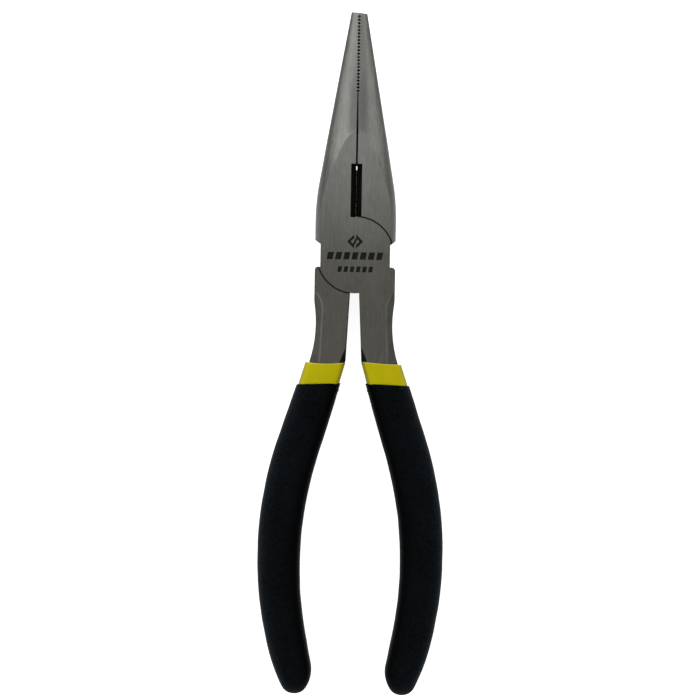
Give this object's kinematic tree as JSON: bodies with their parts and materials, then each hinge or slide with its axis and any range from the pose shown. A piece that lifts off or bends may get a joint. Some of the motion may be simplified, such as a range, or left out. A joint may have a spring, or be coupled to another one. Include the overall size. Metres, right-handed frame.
{
  "type": "needle nose pliers",
  "caption": "Long nose pliers with a lap joint, a wire cutter beside it, toothed tapered jaws and black handle grips over yellow collars.",
  "frame": {"origin": "below the middle of the overall length and width, on the surface the pliers lie on", "axes": "+Y towards the jaws' tips, +Z away from the surface and along the rivet, +X to the right seen from +Z"},
  "size_m": [0.0556, 0.2046, 0.0132],
  "materials": {
    "ground_steel": "dark forged steel, faces ground along the tool's length",
    "rivet_steel": "ground flush with the faces",
    "yellow_vinyl": "smooth dipped vinyl, slightly glossy",
    "black_vinyl": "matte soft dipped vinyl with a fine grain"
  },
  "bodies": {
    "front_lever": {"front_half": "ground_steel", "joint_rivet": "rivet_steel", "right_sleeve": "yellow_vinyl", "right_grip": "black_vinyl"},
    "rear_lever": {"rear_half": "ground_steel", "left_sleeve": "yellow_vinyl", "left_grip": "black_vinyl"}
  },
  "joints": [
    {"name": "jaw_pivot", "type": "hinge", "parent": "front_lever", "child": "rear_lever", "pos_m": [0, 0.02938, 0.0066], "axis": [0, 0, -1], "range_deg": [0, 36]}
  ]
}
